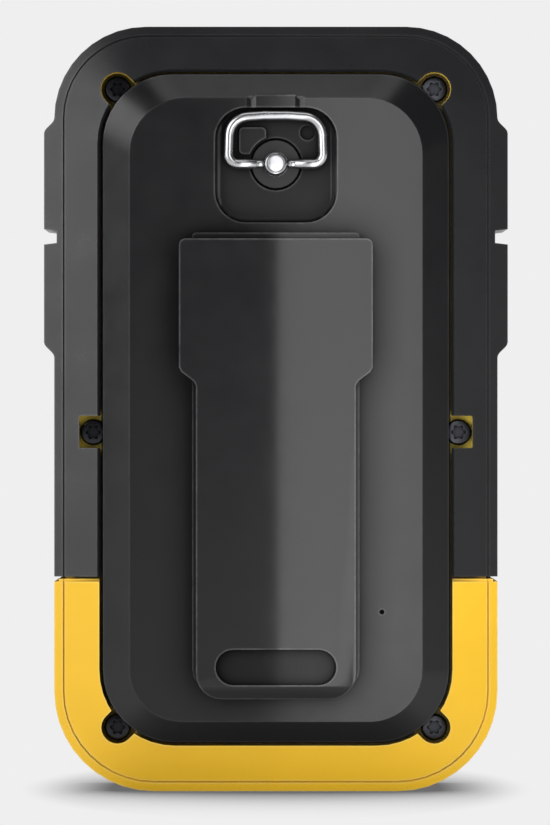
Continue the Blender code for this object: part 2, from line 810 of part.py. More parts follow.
def make_latch():
    """The turn lock: a cross-drilled post, a disc, a seal and a locking bar."""
    head_end = -12.9 * MM
    disc_near, disc_far = -10.3 * MM, -9.95 * MM
    bar_near, bar_far = -7.8 * MM, -6.8 * MM
    post = rod("latch_post", (0, head_end, LATCH_Z), (0, bar_near, LATCH_Z), LATCH_HEAD, None, 24)
    disc_outlines = [arc(0, LATCH_Z, r, 0, 345, 23) for r in (LATCH_DISC, LATCH_HEAD + 0.15 * MM)]
    disc = slab("latch_disc", disc_outlines, disc_near, disc_far)
    x = 6 * MM
    hole = rod("pin_hole", (-x, RING_DEPTH, LATCH_Z), (x, RING_DEPTH, LATCH_Z), 0.8 * MM, TOOLS, 12)
    cut(post, hole)
    spigot_start = (0, bar_near - MM, LATCH_Z)
    join(post, rod("latch_spigot", spigot_start, (0, bar_far, LATCH_Z), 0.9 * MM, TOOLS, 12))
    bar = slab(
        "locking_bar",
        [
            round_rect(3.7 * MM, (LATCH_Z - 1.9 * MM, LATCH_Z + 1.9 * MM), (1.8 * MM,) * 2, 0.0, 4),
            arc(0, LATCH_Z, 1.2 * MM, 0, 330, 11),
        ],
        bar_near + GAP,
        bar_far,
    )
    middle = -9.48 * MM
    seal = wire(
        "latch_seal",
        [(x, middle, z) for x, z in arc(0, LATCH_Z, 2.6 * MM, 0, 345, 23)],
        0.35 * MM,
        True,
    )
    finish(STEEL, 0.15, 1.0, post)
    finish(STEEL, 0.3, 1.0, bar)
    finish(PLASTIC_BLACK, 0.5, 0.0, disc)
    finish((0.02, 0.02, 0.02), 0.7, 0.0, seal)
    return [post, disc, bar, seal]


def make_latch_insert():
    """The metal bush in the case that the locking bar turns in."""
    outlines = [arc(0, LATCH_Z, r, 0, 345, 23) for r in (5.0 * MM, 4.2 * MM)]
    bush = slab("latch_insert", outlines, -6.8 * MM, -6.2 * MM)
    finish(STEEL, 0.35, 1.0, bush)


def make_d_ring():
    """The folding ring: a bent wire with thin ends that meet in the latch head."""
    upper = 2.9 * MM
    lower = 1.3 * MM
    right = (
        [(2.6 * MM, 0.0)]
        + arc(RING_HALF - lower, lower, lower, -90, 0, 5)
        + arc(RING_HALF - 0.1 * MM - upper, RING_TOP - 0.25 * MM - upper, upper, 0, 80, 7)
        + [(1.6 * MM, RING_TOP - 0.03 * MM)]
    )
    loop = right + [(-x, z) for x, z in reversed(right)]
    ring = wire("d_ring", [(x, RING_DEPTH, LATCH_Z + z) for x, z in loop], RING_WIRE, False)
    end = 3.0 * MM
    pin = rod("ring_pin", (-end, RING_DEPTH, LATCH_Z), (end, RING_DEPTH, LATCH_Z), RING_PIN, TOOLS, 12)
    join(ring, pin)
    finish(STEEL, 0.12, 1.0, ring)
    return ring


# --- Cells and contacts ---


def make_cells():
    """Two cells side by side, one each way up, with a spring and a plate at their ends."""
    low, high = BAY_ENDS
    for i, (x, way) in enumerate(((-CELL_X, 1), (CELL_X, -1)), 1):
        spring_end, plate_end = (low, high) if way > 0 else (high, low)
        base = spring_end + way * SPRING_ROOM
        tip = base + way * CELL_LENGTH
        shoulder = tip - way * CELL_NUB
        ends = [(x, CELL_DEPTH, z) for z in (base, shoulder)]
        cell = rod(f"aa_cell_{i}", *ends, CELL_RADIUS, None, 32)
        nub_start = (x, CELL_DEPTH, shoulder - way * MM)
        join(cell, rod(f"nub_{i}", nub_start, (x, CELL_DEPTH, tip), 2.7 * MM, TOOLS, 16))
        finish((0.10, 0.11, 0.13), 0.3, 0.6, cell)
        make_contact_spring(i, x, spring_end + way * GAP, base - way * GAP, way)
        low_face, high_face = sorted((tip + way * GAP, plate_end - way * GAP))
        half = 4.5 * MM
        plate = block(
            f"contact_plate_{i}",
            (x - half, CELL_DEPTH - half, low_face),
            (x + half, CELL_DEPTH + half, high_face),
        )
        finish(STEEL, 0.25, 1.0, plate)


def make_contact_spring(number, x, start, end, way):
    """A conical coil that presses on a cell's flat end."""
    turns = 3
    steps = 8
    radius = 0.3 * MM
    base = start + way * radius
    rise = end - way * radius - base
    points = []
    for i in range(turns * steps + 1):
        t = i / (turns * steps)
        reach = (4.6 - 1.8 * t) * MM
        turn = math.tau * turns * t
        points.append(
            (x + reach * math.cos(turn), CELL_DEPTH + reach * math.sin(turn), base + rise * t)
        )
    spring = wire(f"contact_spring_{number}", points, radius, False)
    finish(STEEL, 0.25, 1.0, spring)


# --- Electronics ---


def make_board():
    near, far = BOARD
    half = 20.4 * MM
    board = slab("main_board", [small_rect(half, (12.8 * MM, 90.0 * MM), 0.0, 1.5 * MM)], near, far)
    finish((0.03, 0.16, 0.07), 0.5, 0.0, board)
    shield = block("rf_shield", (-4 * MM, far + GAP, 81.5 * MM), (19 * MM, far + 1.4 * MM, 89.5 * MM))
    finish(STEEL, 0.3, 1.0, shield)
    antenna = block("gps_antenna", (-8 * MM, 2.4 * MM, 74 * MM), (8 * MM, near - GAP, 90 * MM))
    finish((0.55, 0.47, 0.36), 0.6, 0.0, antenna)
    x, z = -14.3 * MM, 82 * MM
    beeper = rod("beeper", (x, 3.4 * MM, z), (x, near - GAP, z), 4.5 * MM, None, 24)
    finish((0.02, 0.02, 0.02), 0.6, 0.0, beeper)
    x, z = 13.6 * MM, 84 * MM
    cell = rod("backup_cell", (x, 4.9 * MM, z), (x, near - GAP, z), 3.4 * MM, None, 24)
    finish(STEEL, 0.3, 1.0, cell)
    ribbon = block("screen_ribbon", (-6 * MM, far + GAP, 17 * MM), (6 * MM, far + 0.5 * MM, 26.5 * MM))
    finish(GOLD, 0.4, 0.2, ribbon)


def make_screen():
    """The display stack, from the board outwards: module, frame, lens and bezel."""
    base = BOARD[1] + GAP
    low, high = SCREEN_ENDS
    module_face = 9.9 * MM
    half = SCREEN_HALF - 0.7 * MM
    ends = (low + 0.7 * MM, high - 0.7 * MM)
    module = block("lcd_module", (-half, base, ends[0]), (half, module_face, ends[1]))
    finish((0.16, 0.18, 0.17), 0.25, 0.0, module)
    outer = small_rect(SCREEN_HALF + MM, (low - MM, high + MM), 0.0, MM)
    inner = small_rect(half + GAP, (ends[0] - GAP, ends[1] + GAP), 0.0, 0.5 * MM)
    frame = slab("lcd_frame", [outer, inner], base, FRONT - SKIN - FACE_WALL - GAP)
    finish((0.6, 0.6, 0.6), 0.4, 0.0, frame)
    near = BEZEL_SEAT + GAP
    face = BEZEL_FACE
    opening = small_rect(LENS_HALF + GAP, (LENS_ENDS[0] - GAP, LENS_ENDS[1] + GAP), 0.0, 2 * MM)
    outline = round_rect(BEZEL_HALF, BEZEL_ENDS, (7.7 * MM, 7.7 * MM))
    edge = 0.7 * MM
    top = round_rect(
        BEZEL_HALF - edge,
        (BEZEL_ENDS[0] + edge, BEZEL_ENDS[1] - edge),
        (7.7 * MM - edge,) * 2,
    )
    bezel = loft("screen_bezel", [(near, outline), (face - edge, outline), (face, top)])
    x, z = STICK
    hole = rod("bezel_stick_hole", (x, 0, z), (x, 0.02, z), 5.2 * MM, TOOLS, 28)
    cut(bezel, slab("lens_opening", [opening], 0, 0.02, TOOLS), hole)
    finish(PLASTIC_BLACK, 0.35, 0.0, bezel)
    lens_outline = small_rect(LENS_HALF, LENS_ENDS, 0.0, 1.7 * MM)
    lens = slab("screen_lens", [lens_outline], near, face - 0.4 * MM)
    finish((0.05, 0.06, 0.06), 0.06, 0.0, lens)


def make_thumb_stick():
    """The stick: a switch on the board, a plunger, a gimbal and a rubber cap."""
    x, z = STICK
    base = BOARD[1] + GAP
    half = 3.4 * MM
    low, high = z - 4.4 * MM, z + 0.9 * MM
    switch = block("nav_switch", (x - half, base, low), (x + half, 8.9 * MM, high))
    finish((0.05, 0.05, 0.05), 0.5, 0.0, switch)
    plunger = rod("nav_plunger", (x, 9.5 * MM, z), (x, 10.6 * MM, z), 2.6 * MM, None, 20)
    finish(STEEL, 0.35, 0.9, plunger)
    gimbal = rod("nav_gimbal", (x, 10.9 * MM, z), (x, 11.8 * MM, z), 2.0 * MM, None, 20)
    finish(STEEL, 0.35, 0.9, gimbal)
    skirt = [(4.1 * MM, 12.5 * MM), (4.3 * MM, 12.9 * MM), (2.2 * MM, 13.4 * MM)]
    knob = [(1.9 * MM, 14.0 * MM), (2.7 * MM, 14.7 * MM), (2.6 * MM, 15.0 * MM), (2.0 * MM, STICK_FACE)]
    stick = rod("stick_shank", (x, 12.1 * MM, z), (x, 13.6 * MM, z), 1.6 * MM, TOOLS, 16)
    cap = turned("thumb_stick", skirt + knob)
    cap.location = (x, 0, z)
    join(cap, stick)
    finish(RUBBER_BLACK, 0.6, 0.0, cap)
    return plunger, gimbal, cap


def turned(name, profile):
    """A turned solid about +Y from radii and depths, nearest depth first."""
    form = bmesh.new()
    stations = [(0.0, profile[0][1])] + profile + [(0.0, profile[-1][1])]
    verts = [form.verts.new((r, 0, y)) for r, y in reversed(stations)]
    for upper, lower in zip(verts, verts[1:]):
        form.edges.new((upper, lower))
    mesh = bpy.data.meshes.new(name)
    form.to_mesh(mesh)
    form.free()
    made = add(name, mesh)
    made.rotation_euler = (-math.pi / 2, 0, 0)
    spin = made.modifiers.new("spin", "SCREW")
    spin.steps = spin.render_steps = 20
    spin.use_merge_vertices = True
    spin.merge_threshold = 0.00001
    return made


# --- Side keys, their switches and the port ---


def stem_heights(name, low, high):
    """The rocker has a stem at each end, and a plain key has one in its middle."""
    middle = (low + high) / 2
    if name == "zoom_rocker":
        return (middle - 3.2 * MM, middle + 3.2 * MM)
    return (middle,)


def make_key(name, side, low, high):
    """A key in the rubber's guard, with stems that reach its switches."""
    near, far = KEY_DEPTHS
    faces = sorted((side * KEY_BACK, side * KEY_FACE))
    key = block(name, (faces[0], near + GAP, low + GAP), (faces[1], far - GAP, high - GAP))
    round_edges = key.modifiers.new("round_edges", "BEVEL")
    round_edges.width = 0.5 * MM
    round_edges.segments = 2
    for i, middle in enumerate(stem_heights(name, low, high)):
        ends = sorted((side * STEM_END, side * (KEY_BACK + 0.5 * MM)))
        stem = block(
            f"{name}_stem_{i}",
            (ends[0], KEY_MIDDLE - 1.2 * MM, middle - 1.5 * MM),
            (ends[1], KEY_MIDDLE + 1.2 * MM, middle + 1.5 * MM),
            TOOLS,
        )
        join(key, stem)
        make_side_switch(f"{name}_switch_{i + 1}", side, middle)
    if name == "zoom_rocker":
        middle = (low + high) / 2
        waist = rod(
            "rocker_waist",
            (side * (KEY_FACE + 1.6 * MM), 0, middle),
            (side * (KEY_FACE + 1.6 * MM), 0.01, middle),
            2.0 * MM,
            TOOLS,
            24,
        )
        cut(key, waist)
    finish(RUBBER_BLACK, 0.6, 0.0, key)
    return key


def make_side_switch(name, side, middle):
    """A small switch on the board's edge, with its button facing out."""
    body = sorted((side * 18.9 * MM, side * 23.6 * MM))
    near = 3.2 * MM
    far = BOARD[0] - GAP
    switch = block(name, (body[0], near, middle - 2.4 * MM), (body[1], far, middle + 2.4 * MM))
    ends = sorted((side * 23.0 * MM, side * 25.0 * MM))
    button = block(
        name + "_button",
        (ends[0], near + 0.9 * MM, middle - MM),
        (ends[1], far - 0.9 * MM, middle + MM),
        TOOLS,
    )
    join(switch, button)
    finish(STEEL, 0.35, 0.9, switch)


def make_port():
    """The socket on the board's edge and the rubber cap that covers it."""
    socket = slab_sideways("usb_socket", 4.4 * MM, 1.6 * MM, (18.9 * MM, 26.2 * MM), PARTS)
    opening = slab_sideways("socket_opening", 4.1 * MM, 1.3 * MM, (20 * MM, 28 * MM))
    tongue = block(
        "socket_tongue",
        (19.5 * MM, KEY_MIDDLE - 0.35 * MM, PORT_Z - 3.2 * MM),
        (25.4 * MM, KEY_MIDDLE + 0.35 * MM, PORT_Z + 3.2 * MM),
        TOOLS,
    )
    join(cut(socket, opening), tongue)
    finish(STEEL, 0.3, 1.0, socket)
    low, high = PORT_CAP
    near, far = KEY_DEPTHS
    cap = block(
        "usb_cap",
        (HALF_WIDTH - RUBBER + 0.1 * MM, near + GAP, low + GAP),
        (HALF_WIDTH, far - GAP, high - GAP),
    )
    plug = slab_sideways("usb_plug", 4.0 * MM, 1.5 * MM, (27.3 * MM, HALF_WIDTH - 0.5 * MM))
    grip = rod(
        "cap_finger_cut",
        (HALF_WIDTH + MM, near, high - 1.9 * MM),
        (HALF_WIDTH + MM, far, high - 1.9 * MM),
        1.5 * MM,
        TOOLS,
        16,
    )
    cut(join(cap, plug), grip)
    finish(RUBBER_BLACK, 0.6, 0.0, cap)
    return cap


def main():
    make_rear_case()
    make_front_case()
    make_rear_grip()
    make_front_grip()
    make_case_seal()
    make_screws()
    cover = make_battery_cover()
    on_cover = [cover, make_mounting_spine(), make_vent_membrane()]
    make_cover_seal()
    latch = make_latch()
    ring = make_d_ring()
    make_latch_insert()
    make_cells()
    make_board()
    make_screen()
    plunger, gimbal, cap = make_thumb_stick()
    for name, side, low, high in KEYS:
        key = make_key(name, side, low, high)
        pivot(name + "_axis", (side * KEY_BACK, KEY_MIDDLE, (low + high) / 2), [key])
    port_cap = make_port()

    cover_axis = pivot("cover_axis", (0, BACK, COVER_ENDS[0]), on_cover)
    latch_axis = pivot("latch_axis", (0, RING_DEPTH, LATCH_Z), latch, cover_axis)
    pivot("ring_axis", (0, RING_DEPTH, LATCH_Z), [ring], latch_axis)
    x, z = STICK
    press = pivot("stick_press", (x, 10 * MM, z), [plunger])
    tilt = pivot("stick_tilt_x", (x, 11.3 * MM, z), [gimbal], press)
    pivot("stick_tilt_z", (x, 11.3 * MM, z), [cap], tilt)
    pivot("port_cap_axis", (HALF_WIDTH, KEY_MIDDLE, PORT_CAP[0]), [port_cap])


main()
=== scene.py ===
"""Looks of the handheld GPS unit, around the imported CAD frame. Metres, +Z up, cover towards -Y."""

import math

import bmesh
import bpy
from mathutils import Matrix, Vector


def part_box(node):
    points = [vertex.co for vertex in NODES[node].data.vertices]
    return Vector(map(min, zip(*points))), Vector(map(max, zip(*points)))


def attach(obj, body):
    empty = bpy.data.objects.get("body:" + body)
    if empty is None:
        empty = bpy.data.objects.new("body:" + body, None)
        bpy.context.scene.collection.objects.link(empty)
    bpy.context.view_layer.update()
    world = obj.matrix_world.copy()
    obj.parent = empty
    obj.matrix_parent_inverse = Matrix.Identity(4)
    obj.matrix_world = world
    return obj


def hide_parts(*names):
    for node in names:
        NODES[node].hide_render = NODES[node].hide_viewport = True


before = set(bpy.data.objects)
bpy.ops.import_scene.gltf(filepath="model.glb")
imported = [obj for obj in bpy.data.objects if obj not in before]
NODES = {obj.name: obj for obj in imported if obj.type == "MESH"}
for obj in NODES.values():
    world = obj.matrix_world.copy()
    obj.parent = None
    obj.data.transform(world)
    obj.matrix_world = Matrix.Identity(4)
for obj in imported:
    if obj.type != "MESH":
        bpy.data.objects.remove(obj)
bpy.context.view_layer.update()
MM = 0.001
SCREWS = [f"case_screw_{number}" for number in range(1, 7)]
CORNER_SCREWS = SCREWS[:4]

# The unit.
CORE_HALF = (19.5 * MM, 41.0 * MM)  # half width and half height of the outline without its corners
CORE_MIDDLE = 51.0 * MM
PIN_Y = -11.3 * MM  # the ring's pin, through the latch head
PIN_Z = 83.6 * MM
WIRE = 0.7 * MM  # radius of the ring's bar
WIRE_END = (0.08 * MM, 0.1 * MM)  # length and height of the step that rounds the bar's ends
SLEEVE = 0.55 * MM
PIN = 0.42 * MM
POST_FRONT = -12.9 * MM
POST_BORE = 0.8 * MM
SCREW_HEAD = 0.95 * MM  # the head's height
SCREW_SHANK = 0.9 * MM
LOBES = (0.88 * MM, 0.14 * MM)  # mean radius of the screws' socket and its swing
BAND_ENDS = (3 * MM, 9 * MM)  # the coloured band, from one end of a cell
WINDOW_INSET = (2.2 * MM, -1 * MM, 2.6 * MM)  # from the lens's box to the display's, which is deeper

# Painted shade in recesses.
GAP_SHADE = (0.002, 0.002, 0.001)  # painted shade, near black, in narrow gaps in the yellow plastic
CORNER_POCKET_SHADE = (0.15, 0.135, 0.04)  # painted shade of the yellow plastic beside the four corner screws
SIDE_POCKET_SHADE = (0.78, 0.68, 0.14)  # and a lighter painted shade beyond the heads of the two side screws
PIT_DEPTHS = (-20 * MM, -4 * MM)
OPEN_LEVEL, RECESS_LEVEL = 0.46, 0.12  # specular level on open faces and in recesses, where it falls with the painted shade

# The stage, in metres.
PALE = 0.863  # the floor and the wall, in linear light
FLOOR_RADIUS = 2.2
WALL_BEND = 0.5
WALL_HEIGHT = 4.0
CONTACT_REACH = 0.075  # how far the painted shadow on the floor reaches
CONTACT_HALF = (0.035, 0.075)  # the ellipse outside which the floor is even and has no painted shadow
VIEW_HEIGHT = 110.03 * MM  # what the frame shows, at the middle's depth
VIEW_MIDDLE = (-0.12 * MM, -9.0 * MM, 50.53 * MM)
UNIT_MIDDLE = (0, -0.01, 0.05)


# --- Materials ---


class Recipe:
    """A node material under construction, with its Principled shader ready."""

    def __init__(self, name, colour, roughness, metallic=0.0, **sockets):
        self.made = bpy.data.materials.new(name)
        self.made.use_nodes = True
        self.tree = self.made.node_tree
        self.shader = self.tree.nodes["Principled BSDF"]
        self.set("Base Color", (*colour, 1))
        self.set("Roughness", roughness)
        self.set("Metallic", metallic)
        for socket, value in sockets.items():
            self.set(socket.replace("_", " "), value)
        self.place = self.node("ShaderNodeTexCoord").outputs["Object"]

    def set(self, socket, value):
        """Gives one of the shader's sockets a value."""
        self.shader.inputs[socket].default_value = value

    def node(self, kind, **values):
        made = self.tree.nodes.new(kind)
        for key, value in values.items():
            setattr(made, key, value)
        return made

    def link(self, start, end):
        self.tree.links.new(start, end)

    def feed(self, socket, source):
        """Links a source to one of the shader's sockets."""
        self.link(source, self.shader.inputs[socket])

    def noise(self, size, detail=2.0, roughness=0.5, place=None):
        """Noise with features of a size in metres, from 0 to 1."""
        made = self.node("ShaderNodeTexNoise")
        made.inputs["Scale"].default_value = 1.0 / size
        made.inputs["Detail"].default_value = detail
        made.inputs["Roughness"].default_value = roughness
        self.link(place or self.place, made.inputs["Vector"])
        return made.outputs["Fac"]

    def stretched(self, x, y, z):
        """The place, stretched along an axis where the number is small."""
        made = self.node("ShaderNodeMapping")
        made.inputs["Scale"].default_value = (x, y, z)
        self.link(self.place, made.inputs["Vector"])
        return made.outputs["Vector"]

    def math(self, operation, a, b=0.0, clamp=False):
        made = self.node("ShaderNodeMath", operation=operation, use_clamp=clamp)
        for socket, value in zip(made.inputs, (a, b)):
            if isinstance(value, (int, float)):
                socket.default_value = value
            else:
                self.link(value, socket)
        return made.outputs["Value"]

    def spread(self, source, low, high, to_low, to_high):
        """A source from low to high, made to run from to_low to to_high."""
        made = self.node("ShaderNodeMapRange")
        for socket, value in zip(made.inputs[1:5], (low, high, to_low, to_high)):
            socket.default_value = value
        self.link(source, made.inputs["Value"])
        return made.outputs["Result"]

    def mix(self, factor, a, b):
        """Two colours or colour sources, mixed."""
        made = self.node("ShaderNodeMix", data_type="RGBA")
        self.link(factor, made.inputs[0])
        for socket, value in zip([s for s in made.inputs if s.type == "RGBA"], (a, b)):
            if isinstance(value, tuple):
                socket.default_value = (*value, 1)
            else:
                self.link(value, socket)
        return [s for s in made.outputs if s.type == "RGBA"][0]

    def axis(self, index):
        """One coordinate of the place."""
        made = self.node("ShaderNodeSeparateXYZ")
        self.link(self.place, made.inputs["Vector"])
        return made.outputs[index]

    def bump(self, height, distance, strength=1.0, under=None):
        made = self.node("ShaderNodeBump")
        made.inputs["Distance"].default_value = distance
        made.inputs["Strength"].default_value = strength
        self.link(height, made.inputs["Height"])
        if under:
            self.link(under, made.inputs["Normal"])
        return made.outputs["Normal"]

    def edges(self, radius):
        """Near 1 along outer edges, and 0 on flat faces and in corners that turn inwards."""
        made = self.node("ShaderNodeAmbientOcclusion", samples=8, inside=True)
        made.inputs["Distance"].default_value = radius
        return self.spread(made.outputs["AO"], 0.97, 0.72, 0.0, 1.0)

    def openness(self, distance):
        """1 on open faces, falling towards 0 in narrow recesses."""
        made = self.node("ShaderNodeAmbientOcclusion", samples=8)
        made.inputs["Distance"].default_value = distance
        return made.outputs["AO"]

    def within(self, low, high):
        """1 inside a box given by two corners, and 0 outside it."""
        made = self.node("ShaderNodeVectorMath", operation="SUBTRACT")
        self.link(self.place, made.inputs[0])
        made.inputs[1].default_value = [(a + b) / 2 for a, b in zip(low, high)]
        apart = self.node("ShaderNodeVectorMath", operation="ABSOLUTE")
        self.link(made.outputs[0], apart.inputs[0])
        split = self.node("ShaderNodeSeparateXYZ")
        self.link(apart.outputs[0], split.inputs[0])
        inside = 1.0
        for reach, a, b in zip(split.outputs, low, high):
            half = (b - a) / 2
            inside = self.math("MULTIPLY", self.spread(reach, half, half + 0.1 * MM, 1, 0), inside)
        return inside

    def crown(self, lean, width):
        """Height of a face that falls away to both sides of x = 0."""
        x = self.axis(0)
        square = self.math("ADD", self.math("MULTIPLY", x, x), width * width)
        return self.math("MULTIPLY", self.math("SQRT", square), -math.tan(math.radians(lean)))

    def from_core(self):
        """Distance from the outline's core, seen along Y."""
        side = self.math("ABSOLUTE", self.axis(0))
        across = self.math("MAXIMUM", self.math("SUBTRACT", side, CORE_HALF[0]), 0.0)
        rise = self.math("ABSOLUTE", self.math("SUBTRACT", self.axis(2), CORE_MIDDLE))
        along = self.math("MAXIMUM", self.math("SUBTRACT", rise, CORE_HALF[1]), 0.0)
        square = self.math("ADD", self.math("MULTIPLY", across, across), self.math("MULTIPLY", along, along))
        return self.math("SQRT", square)

    def shoulder(self, lean):
        """Height of a band that falls away from the cover towards the unit's rounded outline."""
        return self.math("MULTIPLY", self.from_core(), -math.tan(math.radians(lean)))


def moulded(name, colour, roughness, grain, depth, edge_wear_and_highlight=None, form=None, painted_recess_shade=None, sunk=(), lit=()):
    """Moulded plastic or rubber: fine grain, uneven gloss, faint mottling, edges lightened as wear and as a
    painted highlight, and painted shade in recesses.

    grain and depth: the size and the height of the grain. edge_wear_and_highlight: the colour of outer edges,
    which stands for rubbed wear and also for a painted highlight.
    form: a Recipe method for the height of the whole face, and its numbers.
    painted_recess_shade: how far the painted shade in recesses reaches, its colour, and the openness where it
    is full and where it ends;
    then, where the shade is weaker outside the core, the distances over which it weakens.
    sunk: boxes with added roughness and a factor on the specular level; a factor under 0.3 also mixes the
    painted recess shade into the colour.
    lit: boxes with their own colour for the painted recess shade.
    """
    made = Recipe(name, colour, roughness)
    cloud = made.noise(14 * MM, 3.0)
    dark = tuple(c * 0.96 for c in colour)
    light = tuple(min(1.0, c * 1.03) for c in colour)
    surface = made.mix(made.spread(cloud, 0.35, 0.65, 0, 1), dark, light)
    gloss = made.spread(made.noise(5 * MM, 4.0, 0.6), 0.3, 0.7, roughness - 0.035, roughness + 0.035)
    if edge_wear_and_highlight:
        # Outer edges made lighter: partly rubbed wear, partly a painted highlight along them.
        worn_and_highlit_edge = made.edges(0.3 * MM)
        broken = made.spread(made.noise(1.6 * MM, 4.0, 0.7), 0.3, 0.6, 0.35, 1.0)
        worn_and_highlit_edge = made.math("MULTIPLY", worn_and_highlit_edge, broken, True)
        surface = made.mix(made.math("MULTIPLY", worn_and_highlit_edge, 0.8), surface, edge_wear_and_highlight)
        gloss = made.math("SUBTRACT", gloss, made.math("MULTIPLY", worn_and_highlit_edge, 0.1))
    if painted_recess_shade:
        distance, shade, low, high, *reach = painted_recess_shade
        # Painted shade: the colour goes towards the shade colour where an occlusion mask finds a recess, and
        # the specular level drops with it.
        recess_shade_mask = made.spread(made.openness(distance), low, high, 1, 0)
        if reach:
            recess_shade_mask = made.math("MULTIPLY", recess_shade_mask, made.spread(made.from_core(), *reach, 1, 0.4))
            # Painted shade near black in narrow gaps, with its own colour in the boxes around the screws.
            roomy = made.spread(made.openness(0.9 * MM), 0.1, 0.45, 0, 1)
            for low_corner, high_corner, tint in lit:
                shade = made.mix(made.within(low_corner, high_corner), shade, tint)
            shade = made.mix(roomy, GAP_SHADE, shade)
        surface = made.mix(recess_shade_mask, surface, shade)
        level = made.spread(recess_shade_mask, 0, 1, OPEN_LEVEL, RECESS_LEVEL)
        for low_corner, high_corner, matt, dull in sunk:
            inside = made.within(low_corner, high_corner)
            gloss = made.math("ADD", gloss, made.math("MULTIPLY", inside, matt))
            # A box with a factor under 0.3 also gets the painted recess shade in its colour.
            if dull < 0.3:
                surface = made.mix(made.math("MULTIPLY", inside, 0.8), surface, shade)
            level = made.math("MULTIPLY", level, made.spread(inside, 0, 1, 1, dull))
        made.feed("Specular IOR Level", level)
    made.feed("Base Color", surface)
    made.feed("Roughness", gloss)
    fine = made.noise(grain, 2.0, 0.6)
    wave = made.noise(9 * MM, 1.0)
    under = made.bump(wave, 0.03 * MM, 0.25)
    if form:
        kind, *numbers = form
        under = made.bump(getattr(made, kind)(*numbers), 1.0, 1.0, under)
    made.feed("Normal", made.bump(fine, depth, 1.0, under))
    return made.made


def pane(name, colour, roughness, window=None, **sockets):
    """Smooth dark glass with faint finger marks in its gloss, over a paler display where it has a window."""
    made = Recipe(name, colour, roughness, **sockets)
    marks = made.spread(made.noise(7 * MM, 5.0, 0.65), 0.45, 0.75, 0.0, 0.09)
    made.feed("Roughness", made.math("ADD", marks, roughness))
    surface = made.mix(marks, colour, tuple(min(1.0, c * 1.3) for c in colour))
    if window:
        lines = made.node("ShaderNodeTexWave", bands_direction="Z")
        lines.inputs["Scale"].default_value = 1 / (1.2 * MM)
        made.link(made.place, lines.inputs["Vector"])
        display = made.mix(lines.outputs["Fac"], (0.030, 0.036, 0.034), (0.034, 0.040, 0.038))
        surface = made.mix(made.within(*window), surface, display)
    made.feed("Base Color", surface)
    return made.made


def metal(name, colour, roughness, stretch=None, scratches=0.05, tip=0.0, recess=0.0):
    """Metal with fine lines or smears in its gloss.

    tip: degrees by which its faces lean sideways. recess: the size of the hollows that get painted shade.
    """
    made = Recipe(name, colour, roughness, 1.0)
    place = made.stretched(*stretch) if stretch else made.place
    smear = made.noise(1.2 * MM, 5.0, 0.65, place)
    smoothest = max(0.02, roughness - scratches)
    made.feed("Roughness", made.spread(smear, 0.3, 0.7, smoothest, roughness + scratches))
    shade = tuple(c * 0.86 for c in colour)
    surface = made.mix(made.spread(made.noise(3 * MM, 3.0), 0.3, 0.7, 0, 1), shade, colour)
    if recess:
        # Painted shade: the base colour darkens in hollows that an occlusion mask finds.
        hollow_shade_mask = made.spread(made.openness(recess), 0.35, 0.8, 1, 0)
        surface = made.mix(hollow_shade_mask, surface, tuple(c * 0.15 for c in colour))
    made.feed("Base Color", surface)
    under = None
    if tip:
        under = made.bump(made.math("MULTIPLY", made.axis(0), -math.tan(math.radians(tip))), 1.0)
    made.feed("Normal", made.bump(smear, 0.002 * MM, 0.3, under))
    return made.made


RUBBER = moulded(
    "grip_rubber",
    (0.0125, 0.0130, 0.0140),
    roughness=0.30,
    grain=0.28 * MM,
    depth=0.004 * MM,
    edge_wear_and_highlight=(0.03, 0.03, 0.031),
    form=("shoulder", 8.5),
)
POCKET_BOXES = (
    # The ring's pocket: the floor, the left and right walls, and the lower wall; the walls also get painted
    # shade.
    ((-7.2 * MM, -11.3 * MM, 76 * MM), (7.2 * MM, -9.0 * MM, 92 * MM), 0.3, 0.6),
    ((-7.9 * MM, -11.6 * MM, 76 * MM), (-6.45 * MM, -10.55 * MM, 91.0 * MM), 0.1, 0.15),
    ((6.45 * MM, -11.6 * MM, 76 * MM), (7.9 * MM, -10.55 * MM, 91.0 * MM), 0.1, 0.15),
    ((-6.0 * MM, -11.6 * MM, 75 * MM), (6.0 * MM, -10.55 * MM, 77.5 * MM), 0.1, 0.15),
)
SLOT_BOX = ((-7.9 * MM, -14.9 * MM, 14 * MM), (7.9 * MM, -13.9 * MM, 19.4 * MM), 0.06, 0.55)
COVER = moulded(
    "cover_resin",
    (0.0085, 0.0088, 0.0095),
    roughness=0.22,
    grain=0.16 * MM,
    depth=0.0025 * MM,
    edge_wear_and_highlight=(0.09, 0.09, 0.093),
    painted_recess_shade=(5 * MM, (0.004, 0.004, 0.0043), 0.42, 0.98),
    sunk=POCKET_BOXES,
)
SPINE = moulded(
    "spine_resin",
    (0.0085, 0.0088, 0.0095),
    roughness=0.2,
    grain=0.16 * MM,
    depth=0.002 * MM,
    edge_wear_and_highlight=(0.09, 0.09, 0.093),
    form=("crown", 4.0, 2.2 * MM),
    painted_recess_shade=(3 * MM, (0.002, 0.002, 0.0022), 0.4, 0.95),
    sunk=(SLOT_BOX,),
)


def screw_pits():
    """A box around each screw's recess in the yellow shell, and the painted shade of the plastic in it."""
    pits = []
    for node in SCREWS:
        head_low, head_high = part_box(node)
        low = [head_low[0] - MM, PIT_DEPTHS[0], head_low[2] - MM]
        high = [head_high[0] + MM, PIT_DEPTHS[1], head_high[2] + MM]
        shade = CORNER_POCKET_SHADE
        if node not in CORNER_SCREWS:
            shade = SIDE_POCKET_SHADE
            middle = (head_low[0] + head_high[0]) / 2
            if middle > 0:
                low[0] = middle - MM
            else:
                high[0] = middle + MM
        pits.append((low, high, shade))
    return pits


